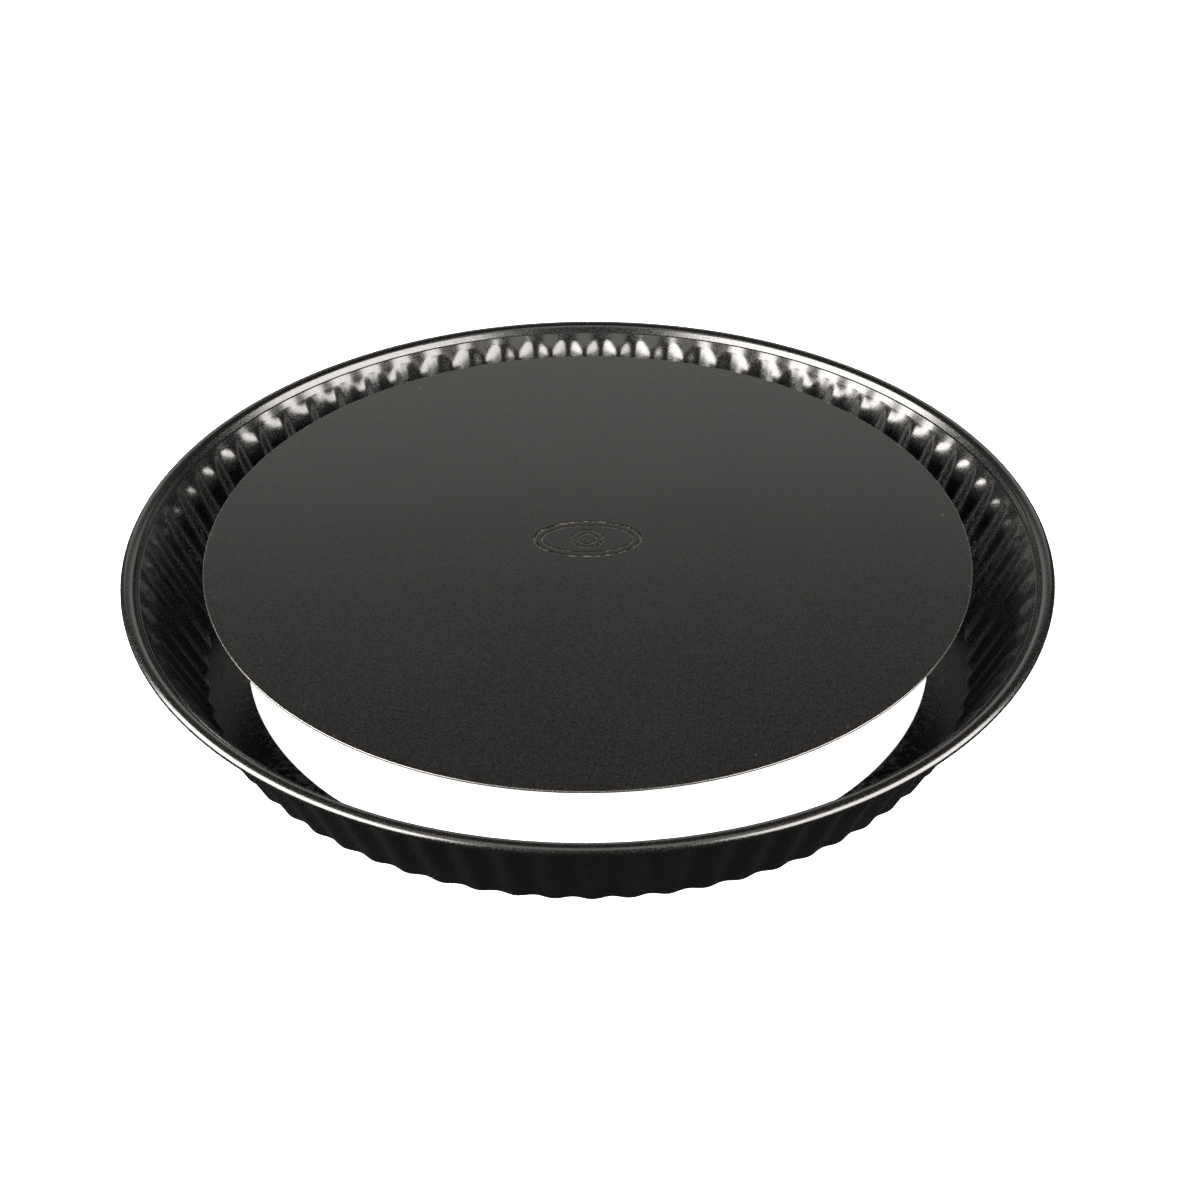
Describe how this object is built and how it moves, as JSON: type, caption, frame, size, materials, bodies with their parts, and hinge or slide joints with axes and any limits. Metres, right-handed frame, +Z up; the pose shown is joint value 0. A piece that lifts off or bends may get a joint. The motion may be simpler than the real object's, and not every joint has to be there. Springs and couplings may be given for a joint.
{
  "type": "tart pan",
  "caption": "Round fluted tart pan of dark coated steel: an open ring with a rolled rim and an inward flange, and a loose flat base that lifts out.",
  "frame": {"origin": "middle of the ring's underside, on the surface that the pan stands on", "axes": "+Z up along the pan's axis, -Y towards the viewer, +X to the viewer's right; a flute crest faces -Y"},
  "size_m": [0.296, 0.296, 0.0386],
  "materials": {
    "ring_coating": "satin dark grey non-stick coating on steel sheet",
    "base_coating": "satin dark grey non-stick coating on steel sheet"
  },
  "bodies": {
    "ring": {"fluted_ring": "ring_coating"},
    "base": {"loose_base": "base_coating"}
  },
  "joints": [
    {"name": "base_lift", "type": "slide", "parent": "ring", "child": "base", "axis": [0, 0, 1], "range_m": [-0.036, 0.024]}
  ]
}
